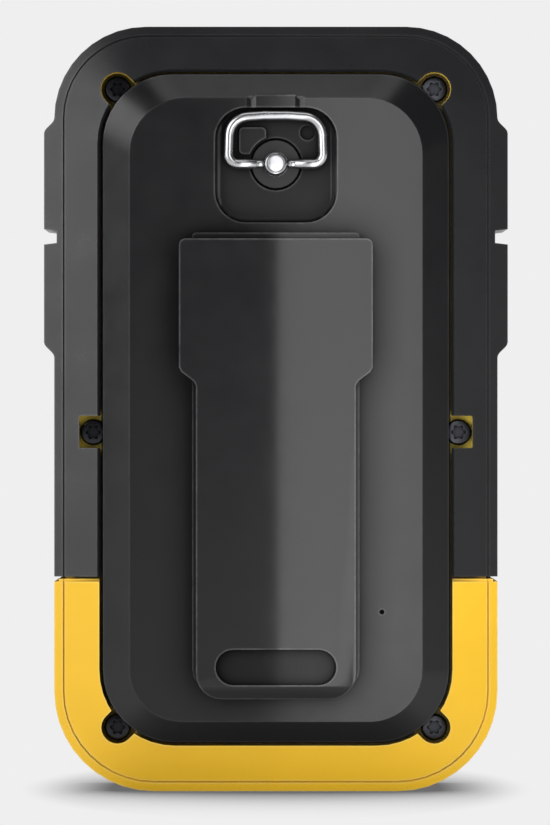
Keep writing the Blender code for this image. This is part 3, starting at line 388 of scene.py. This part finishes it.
YELLOW = moulded(
    "yellow_resin",
    (0.97, 0.565, 0.02),
    roughness=0.34,
    grain=0.2 * MM,
    depth=0.004 * MM,
    edge_wear_and_highlight=(0.97, 0.66, 0.12),
    form=("shoulder", 4.0),
    painted_recess_shade=(2.2 * MM, (0.02, 0.017, 0.003), 0.12, 0.6, 7.2 * MM, 7.9 * MM),
    lit=screw_pits(),
)
DISC = moulded("disc_resin", (0.0035, 0.0035, 0.0039), 0.5, 0.18 * MM, 0.003 * MM)
BLACK = moulded("black_resin", (0.012, 0.012, 0.013), 0.3, 0.18 * MM, 0.005 * MM, (0.04, 0.04, 0.042))
SEAL = moulded("seal_rubber", (0.006, 0.006, 0.006), 0.7, 0.3 * MM, 0.008 * MM)
SILICONE = moulded("silicone", (0.32, 0.33, 0.34), 0.55, 0.3 * MM, 0.008 * MM)
WHITE = moulded("white_resin", (0.74, 0.74, 0.71), 0.5, 0.3 * MM, 0.006 * MM)
CERAMIC = moulded("ceramic", (0.50, 0.42, 0.31), 0.6, 0.25 * MM, 0.01 * MM)
LENS_LOW, LENS_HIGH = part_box("screen_lens")
WINDOW = (
    [c + d for c, d in zip(LENS_LOW, WINDOW_INSET)],
    [c - d for c, d in zip(LENS_HIGH, WINDOW_INSET)],
)
GLASS = pane("lens_glass", (0.006, 0.006, 0.007), 0.05, WINDOW, IOR=1.52, Coat_Weight=0.2)
DISPLAY = pane("display_glass", (0.02, 0.024, 0.026), 0.1, None, Coat_Weight=0.3)
CHROME = metal("polished_steel", (0.53, 0.535, 0.55), 0.25, scratches=0.03)
HEAD = metal("polished_head", (0.42, 0.425, 0.44), 0.2, scratches=0.03, tip=7.0)
SATIN = metal("satin_steel", (0.62, 0.62, 0.63), 0.3, stretch=(0.2, 1, 1), scratches=0.08)
DARK = metal("black_oxide_steel", (0.04, 0.041, 0.046), 0.25, recess=1.2 * MM)


def circuit_board():
    """Green lacquer over copper tracks, with tinned pads."""
    made = Recipe("circuit_board", (0.012, 0.10, 0.04), 0.35, Coat_Weight=0.3)
    tracks = made.node("ShaderNodeTexBrick")
    tracks.inputs["Scale"].default_value = 1 / (6 * MM)
    tracks.inputs["Mortar Size"].default_value = 0.03
    turned = made.node("ShaderNodeMapping")
    turned.inputs["Rotation"].default_value = (math.pi / 2, 0, 0)
    made.link(made.place, turned.inputs["Vector"])
    made.link(turned.outputs["Vector"], tracks.inputs["Vector"])
    pads = made.node("ShaderNodeTexVoronoi")
    pads.inputs["Scale"].default_value = 1 / (2.6 * MM)
    made.link(made.place, pads.inputs["Vector"])
    copper = tracks.outputs["Fac"]
    tin = made.spread(pads.outputs["Distance"], 0.16, 0.19, 1, 0)
    green = made.mix(copper, (0.012, 0.10, 0.04), (0.03, 0.21, 0.075))
    made.feed("Base Color", made.mix(tin, green, (0.72, 0.70, 0.64)))
    made.feed("Metallic", tin)
    made.feed("Normal", made.bump(made.math("MAXIMUM", copper, tin), 0.03 * MM, 0.6))
    return made.made


def flex():
    """An amber film with fine copper lines along it."""
    made = Recipe("flex_film", (0.50, 0.22, 0.03), 0.3)
    lines = made.node("ShaderNodeTexWave", bands_direction="X")
    lines.inputs["Scale"].default_value = 1 / (4 * MM)
    made.link(made.place, lines.inputs["Vector"])
    made.feed("Base Color", made.mix(lines.outputs["Fac"], (0.36, 0.13, 0.015), (0.62, 0.30, 0.05)))
    made.feed("Normal", made.bump(lines.outputs["Fac"], 0.01 * MM, 0.5))
    return made.made


def cell_jacket(name, low, high, band_low, band_high):
    """A pale sleeve with a blue band, and bare steel at both ends of a cell that stands on end."""
    made = Recipe(name, (0.5, 0.52, 0.54), 0.25)
    height = made.axis(2)
    steel = made.math(
        "ADD",
        made.spread(height, low + 1.4 * MM, low + 1.5 * MM, 1, 0),
        made.spread(height, high - 1.5 * MM, high - 1.4 * MM, 0, 1),
        True,
    )
    band = made.math(
        "MULTIPLY",
        made.spread(height, band_low, band_low + 0.1 * MM, 0, 1),
        made.spread(height, band_high - 0.1 * MM, band_high, 1, 0),
    )
    sleeve = made.mix(band, (0.5, 0.52, 0.54), (0.02, 0.06, 0.17))
    made.feed("Base Color", made.mix(steel, sleeve, (0.66, 0.66, 0.67)))
    made.feed("Metallic", steel)
    scuffs = made.noise(0.8 * MM, 5.0, 0.7)
    made.feed("Roughness", made.spread(scuffs, 0.3, 0.7, 0.18, 0.38))
    made.feed("Normal", made.bump(made.math("ADD", band, steel), 0.03 * MM, 0.4))
    return made.made


# --- Meshes ---


def plain_normals(mesh):
    """Drops the stored normals and marked edges, so that modifiers make their own."""
    for name in ("custom_normal", "sharp_edge", "sharp_face"):
        if name in mesh.attributes:
            mesh.attributes.remove(mesh.attributes[name])
    mesh.shade_smooth()


def soften(piece, width):
    """Rounds the hard edges of a faceted solid and keeps its flat faces flat."""
    plain_normals(piece.data)
    weld = piece.modifiers.new("weld", "WELD")
    weld.merge_threshold = 1e-6
    flat = piece.modifiers.new("flat", "DECIMATE")
    flat.decimate_type = "DISSOLVE"
    flat.angle_limit = math.radians(0.4)
    bevel = piece.modifiers.new("round", "BEVEL")
    bevel.width = width
    bevel.segments = 3
    bevel.limit_method = "ANGLE"
    bevel.angle_limit = math.radians(28)
    bevel.harden_normals = True
    bevel.miter_outer = "MITER_ARC"
    even = piece.modifiers.new("even", "WEIGHTED_NORMAL")
    even.keep_sharp = True
    even.weight = 100


def dress(material, width, *names):
    """Gives CAD nodes a material and edges rounded to a width."""
    for name in names:
        piece = NODES[name]
        piece.data.materials.clear()
        piece.data.materials.append(material)
        soften(piece, width)


dress(RUBBER, 0.22 * MM, "rear_grip", "front_grip")
dress(YELLOW, 0.22 * MM, "rear_case", "front_case")
dress(COVER, 0.16 * MM, "battery_cover")
dress(DISC, 0.08 * MM, "latch_disc")
dress(SPINE, 0.16 * MM, "mounting_spine")
dress(RUBBER, 0.15 * MM, "zoom_rocker", "menu_key", "back_key", "power_key", "usb_cap")
dress(RUBBER, 0.12 * MM, "thumb_stick")
dress(BLACK, 0.15 * MM, "screen_bezel", "nav_switch", "beeper")
dress(SEAL, 0.06 * MM, "cover_seal", "latch_seal", "vent_membrane")
dress(SILICONE, 0.1 * MM, "case_seal")
dress(WHITE, 0.08 * MM, "lcd_frame")
dress(CERAMIC, 0.15 * MM, "gps_antenna")
dress(SATIN, 0.05 * MM, "contact_spring_1", "contact_spring_2", "contact_plate_1", "contact_plate_2")
dress(SATIN, 0.08 * MM, "rf_shield", "backup_cell", "usb_socket", "locking_bar", "latch_insert")
dress(SATIN, 0.08 * MM, "nav_plunger", "nav_gimbal", "back_key_switch_1", "menu_key_switch_1")
dress(SATIN, 0.08 * MM, "power_key_switch_1", "zoom_rocker_switch_1", "zoom_rocker_switch_2")
dress(circuit_board(), 0.05 * MM, "main_board")
dress(flex(), 0.03 * MM, "screen_ribbon")
dress(DISPLAY, 0.1 * MM, "lcd_module")
dress(GLASS, 0.12 * MM, "screen_lens")
foot, top = (corner[2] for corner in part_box("aa_cell_1"))
dress(cell_jacket("cell_up", foot, top, foot + BAND_ENDS[0], foot + BAND_ENDS[1]), 0.25 * MM, "aa_cell_1")
foot, top = (corner[2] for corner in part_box("aa_cell_2"))
dress(cell_jacket("cell_down", foot, top, top - BAND_ENDS[1], top - BAND_ENDS[0]), 0.25 * MM, "aa_cell_2")


# --- Finer pieces ---


def piece_of(name, form, material, body, slot, *nodes):
    """A new piece from a bmesh, riding on a body in place of CAD nodes."""
    bmesh.ops.recalc_face_normals(form, faces=form.faces)
    mesh = bpy.data.meshes.new(name)
    form.to_mesh(mesh)
    form.free()
    mesh.shade_smooth()
    mesh.materials.append(material)
    made = bpy.data.objects.new(name, mesh)
    bpy.context.scene.collection.objects.link(made)
    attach(made, body)
    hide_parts(*nodes)
    return made


def bridge(form, rings):
    """Faces between rings of vertices, each to the next."""
    for first, second in zip(rings, rings[1:]):
        for i, vert in enumerate(first):
            j = (i + 1) % len(first)
            form.faces.new((vert, first[j], second[j], second[i]))


def lathe(form, axis, profile, place, steps=48):
    """A closed solid turned about an axis; the profile lists distance along the axis and radius."""
    along = Vector(axis)
    side = Vector((0, 0, 1)) if abs(along.z) < 0.5 else Vector((1, 0, 0))
    other = along.cross(side)
    rings = []
    for distance, radius in profile:
        middle = Vector(place) + along * distance
        ring = []
        for i in range(steps):
            turn = math.tau * i / steps
            arm = side * math.cos(turn) + other * math.sin(turn)
            ring.append(form.verts.new(middle + arm * radius))
        rings.append(ring)
    bridge(form, rings)
    form.faces.new(list(reversed(rings[0])))
    form.faces.new(rings[-1])


def sweep(form, points, radii):
    """A round bar along points, all in one plane of constant Y."""
    sides = 24
    level = Vector((0, 1, 0))
    rings = []
    for i, (point, radius) in enumerate(zip(points, radii)):
        before, after = points[max(i - 1, 0)], points[min(i + 1, len(points) - 1)]
        way = (Vector(after) - Vector(before)).normalized()
        up = way.cross(level)
        ring = []
        for k in range(sides):
            turn = math.tau * k / sides
            arm = level * math.cos(turn) + up * math.sin(turn)
            ring.append(form.verts.new(Vector(point) + arm * radius))
        rings.append(ring)
    bridge(form, rings)
    form.faces.new(rings[0])
    form.faces.new(list(reversed(rings[-1])))


def rounded(points, radii):
    """Corners of an open line made round."""
    steps = 14
    line = [points[0]]
    for before, corner, after, radius in zip(points, points[1:], points[2:], radii):
        first = (Vector(before) - Vector(corner)).normalized()
        second = (Vector(after) - Vector(corner)).normalized()
        half = first.angle(second) / 2
        reach = radius / math.tan(half)
        middle = Vector(corner) + (first + second).normalized() * (radius / math.sin(half))
        start = Vector(corner) + first * reach - middle
        end = Vector(corner) + second * reach - middle
        for i in range(steps + 1):
            arm = start.slerp(end, i / steps)
            line.append(middle + arm.normalized() * radius)
    line.append(points[-1])
    return line


def cut_by(piece, cutter_form):
    """Takes a closed form out of a piece's mesh."""
    mesh = bpy.data.meshes.new("cutter")
    bmesh.ops.recalc_face_normals(cutter_form, faces=cutter_form.faces)
    cutter_form.to_mesh(mesh)
    cutter_form.free()
    cutter = bpy.data.objects.new("cutter", mesh)
    bpy.context.scene.collection.objects.link(cutter)
    cut = piece.modifiers.new("cut", "BOOLEAN")
    cut.operation = "DIFFERENCE"
    cut.solver = "EXACT"
    cut.object = cutter
    bpy.context.view_layer.update()
    done = bpy.data.meshes.new_from_object(piece.evaluated_get(bpy.context.evaluated_depsgraph_get()))
    piece.modifiers.remove(cut)
    old = piece.data
    piece.data = done
    bpy.data.objects.remove(cutter)
    bpy.data.meshes.remove(old)
    bpy.data.meshes.remove(mesh)


def make_ring():
    """The folding ring: a bent bar, and a pin in a sleeve through the latch head."""
    right = rounded(
        [
            Vector((2.5, 0, 0)) * MM,
            Vector((6.35, 0, 0)) * MM,
            Vector((6.15, 0, 6.15)) * MM,
            Vector((1.6, 0, 6.47)) * MM,
        ],
        (1.35 * MM, 2.6 * MM),
    )
    line = right + [Vector((-v.x, 0, v.z)) for v in reversed(right)]
    line = [Vector((v.x, PIN_Y, PIN_Z + v.z)) for v in line]
    length, step = WIRE_END
    inset = Vector((length, 0, 0))
    line = [line[0], line[0] + inset] + line[1:-1] + [line[-1] - inset, line[-1]]
    radii = [WIRE - step] + [WIRE] * (len(line) - 2) + [WIRE - step]
    form = bmesh.new()
    sweep(form, line, radii)
    half = [
        (0.0, PIN),
        (1.62 * MM, PIN),
        (1.62 * MM, SLEEVE - 0.06 * MM),
        (1.68 * MM, SLEEVE),
        (2.7 * MM, SLEEVE),
        (3.0 * MM, 0.3 * MM),
    ]
    profile = [(-x, r) for x, r in reversed(half)] + half[1:]
    lathe(form, (1, 0, 0), profile, (0, PIN_Y, PIN_Z), 32)
    piece_of("ring_bar", form, CHROME, "d_ring", "bright_steel", "d_ring")


def make_post():
    """The turning post: a head with a bright face inside a rolled rim, drilled for the ring."""
    profile = [
        (0.07 * MM, 0.02 * MM),
        (0.07 * MM, 0.98 * MM),
        (0.09 * MM, 1.06 * MM),
        (0.14 * MM, 1.1 * MM),
        (0.05 * MM, 1.16 * MM),
        (0.0, 1.22 * MM),
        (0.03 * MM, 1.34 * MM),
        (0.12 * MM, 1.45 * MM),
        (0.26 * MM, 1.5 * MM),
        (5.1 * MM, 1.5 * MM),
        (5.1 * MM, 0.9 * MM),
        (6.1 * MM, 0.9 * MM),
    ]
    form = bmesh.new()
    lathe(form, (0, 1, 0), profile, (0, POST_FRONT, PIN_Z), 64)
    post = piece_of("turn_post", form, HEAD, "latch", "bright_steel", "latch_post")
    bore = bmesh.new()
    lathe(bore, (1, 0, 0), [(-2 * MM, POST_BORE), (2 * MM, POST_BORE)], (0, PIN_Y, PIN_Z), 32)
    cut_by(post, bore)
    edges = post.modifiers.new("edges", "EDGE_SPLIT")
    edges.split_angle = math.radians(40)


def make_screw(node):
    """A cap screw with a rounded rim, a lobed socket and a plain shank."""
    low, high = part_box(node)
    x, z = (low[0] + high[0]) / 2, (low[2] + high[2]) / 2
    head = (high[0] - low[0]) / 2
    profile = [
        (0.0, 0.02 * MM),
        (0.0, head - 0.3 * MM),
        (0.03 * MM, head - 0.18 * MM),
        (0.1 * MM, head - 0.07 * MM),
        (0.22 * MM, head),
        (SCREW_HEAD, head),
        (SCREW_HEAD, SCREW_SHANK),
        (high[1] - low[1], SCREW_SHANK),
    ]
    form = bmesh.new()
    lathe(form, (0, 1, 0), profile, (x, low[1], z))
    screw = piece_of(node.replace("case", "lobed"), form, DARK, "case", "dark_steel", node)
    socket = bmesh.new()
    steps = 72
    rings = []
    for depth, size in ((-0.3 * MM, 1.06), (0.05 * MM, 1.0), (0.6 * MM, 0.94)):
        ring = []
        for i in range(steps):
            turn = math.tau * i / steps
            reach = (LOBES[0] + LOBES[1] * math.cos(6 * turn)) * size
            place = (x + reach * math.cos(turn), low[1] + depth, z + reach * math.sin(turn))
            ring.append(socket.verts.new(place))
        rings.append(ring)
    bridge(socket, rings)
    socket.faces.new(rings[0])
    socket.faces.new(rings[-1])
    cut_by(screw, socket)
    edges = screw.modifiers.new("edges", "EDGE_SPLIT")
    edges.split_angle = math.radians(35)


make_ring()
make_post()
for node in SCREWS:
    make_screw(node)


# --- Stage ---


def turned_sheet(name, profile, filled=False):
    """A sheet turned about the Z axis from a profile of radius and height; filled closes its middle."""
    steps = 64
    form = bmesh.new()
    rings = []
    for radius, height in profile:
        ring = []
        for i in range(steps):
            turn = math.tau * i / steps
            ring.append(form.verts.new((radius * math.cos(turn), radius * math.sin(turn), height)))
        rings.append(ring)
    bridge(form, rings)
    if filled:
        form.faces.new(list(reversed(rings[0])))
    mesh = bpy.data.meshes.new(name)
    form.to_mesh(mesh)
    form.free()
    mesh.shade_smooth()
    made = bpy.data.objects.new(name, mesh)
    bpy.context.scene.collection.objects.link(made)
    return made


def glowing(name):
    """A material of even pale grey, and the node that sets its strength."""
    made = bpy.data.materials.new(name)
    made.use_nodes = True
    tree = made.node_tree
    tree.nodes.clear()
    out = tree.nodes.new("ShaderNodeOutputMaterial")
    glow = tree.nodes.new("ShaderNodeEmission")
    glow.inputs["Color"].default_value = (PALE, PALE, PALE, 1)
    tree.links.new(glow.outputs[0], out.inputs["Surface"])
    return made, tree, glow


def smooth_range(tree, source, low, high, to_low, to_high):
    """A source from low to high, made to run from to_low to to_high with soft ends."""
    made = tree.nodes.new("ShaderNodeMapRange")
    made.interpolation_type = "SMOOTHSTEP"
    for socket, value in zip(made.inputs[1:5], (low, high, to_low, to_high)):
        socket.default_value = value
    tree.links.new(source, made.inputs["Value"])
    return made.outputs["Result"]


def make_floor():
    """A pale round floor that glows, with a painted shadow: its glow dims where the unit closes off the
    light.
    """
    floor = turned_sheet("floor", [(0.02, 0.0), (0.1, 0.0), (0.5, 0.0), (FLOOR_RADIUS, 0.0)], True)
    made, tree, glow = glowing("floor")
    # Painted contact shadow: an occlusion mask dims the floor's glow near the unit, faded out beyond an
    # ellipse.
    sky = tree.nodes.new("ShaderNodeAmbientOcclusion")
    sky.samples = 16
    sky.inputs["Distance"].default_value = CONTACT_REACH
    contact = smooth_range(tree, sky.outputs["AO"], 0.42, 0.97, 0.17, 1.0)
    place = tree.nodes.new("ShaderNodeTexCoord")
    squash = tree.nodes.new("ShaderNodeMapping")
    squash.inputs["Scale"].default_value = (1 / CONTACT_HALF[0], 1 / CONTACT_HALF[1], 1)
    tree.links.new(place.outputs["Object"], squash.inputs["Vector"])
    reach = tree.nodes.new("ShaderNodeVectorMath")
    reach.operation = "LENGTH"
    tree.links.new(squash.outputs["Vector"], reach.inputs[0])
    fade = smooth_range(tree, reach.outputs["Value"], 0.5, 1.0, 0.0, 1.0)
    lit = tree.nodes.new("ShaderNodeMath")
    lit.operation = "MAXIMUM"
    tree.links.new(fade, lit.inputs[0])
    tree.links.new(contact, lit.inputs[1])
    tree.links.new(lit.outputs[0], glow.inputs["Strength"])
    floor.data.materials.append(made)


def make_wall():
    """A pale wall that bends up around the floor, seen by the camera and by nothing else."""
    steps = 12
    profile = [(FLOOR_RADIUS - 0.01, 0.0)]
    for i in range(1, steps + 1):
        turn = math.pi / 2 * i / steps
        profile.append((FLOOR_RADIUS + WALL_BEND * math.sin(turn), WALL_BEND * (1 - math.cos(turn))))
    profile.append((FLOOR_RADIUS + WALL_BEND, WALL_HEIGHT))
    wall = turned_sheet("wall", profile)
    wall.data.materials.append(glowing("wall")[0])
    wall.visible_diffuse = False
    wall.visible_glossy = False
    wall.visible_transmission = False


def panel(name, place, target, width, height, power):
    """A soft box that faces a point."""
    lamp = bpy.data.lights.new(name, "AREA")
    lamp.shape = "RECTANGLE"
    lamp.size = width
    lamp.size_y = height
    lamp.energy = power
    made = bpy.data.objects.new(name, lamp)
    bpy.context.scene.collection.objects.link(made)
    place, target = Vector(place), Vector(target)
    made.location = place
    made.rotation_euler = (target - place).to_track_quat("-Z", "Y").to_euler()
    made.visible_camera = False


def surroundings():
    """A dim, even grey room."""
    world = bpy.data.worlds.new("room")
    bpy.context.scene.world = world
    world.use_nodes = True
    sky = world.node_tree.nodes["Background"]
    sky.inputs["Strength"].default_value = 1.0
    sky.inputs["Color"].default_value = (0.1, 0.1, 0.103, 1)


def camera():
    """A long lens, level with the middle of the unit."""
    lens = bpy.data.cameras.new("camera")
    lens.lens = 300.0
    lens.sensor_width = 36.0
    lens.clip_start = 0.01
    lens.clip_end = 20.0
    made = bpy.data.objects.new("camera", lens)
    bpy.context.scene.collection.objects.link(made)
    distance = VIEW_HEIGHT * lens.lens / lens.sensor_width
    x, y, z = VIEW_MIDDLE
    made.location = (x, y - distance, z)
    made.rotation_euler = (math.pi / 2, 0, 0)
    bpy.context.scene.camera = made


make_floor()
make_wall()
surroundings()
# A wide key from the left, a near strip that the right half of the cover mirrors, and lamps behind and above.
panel("key_left", (-0.36, -0.37, 0.22), UNIT_MIDDLE, 0.36, 0.44, 1.5)
panel("front_right", (0.0135, -0.055, 0.055), (0.0135, 0, 0.055), 0.025, 0.1, 0.0187)
panel("rear", (0.22, 0.40, 0.24), UNIT_MIDDLE, 0.34, 0.34, 0.75)
panel("top", (0.0, -0.21, 0.50), UNIT_MIDDLE, 0.35, 0.2, 0.26)
camera()
bpy.context.scene.view_settings.view_transform = "Standard"
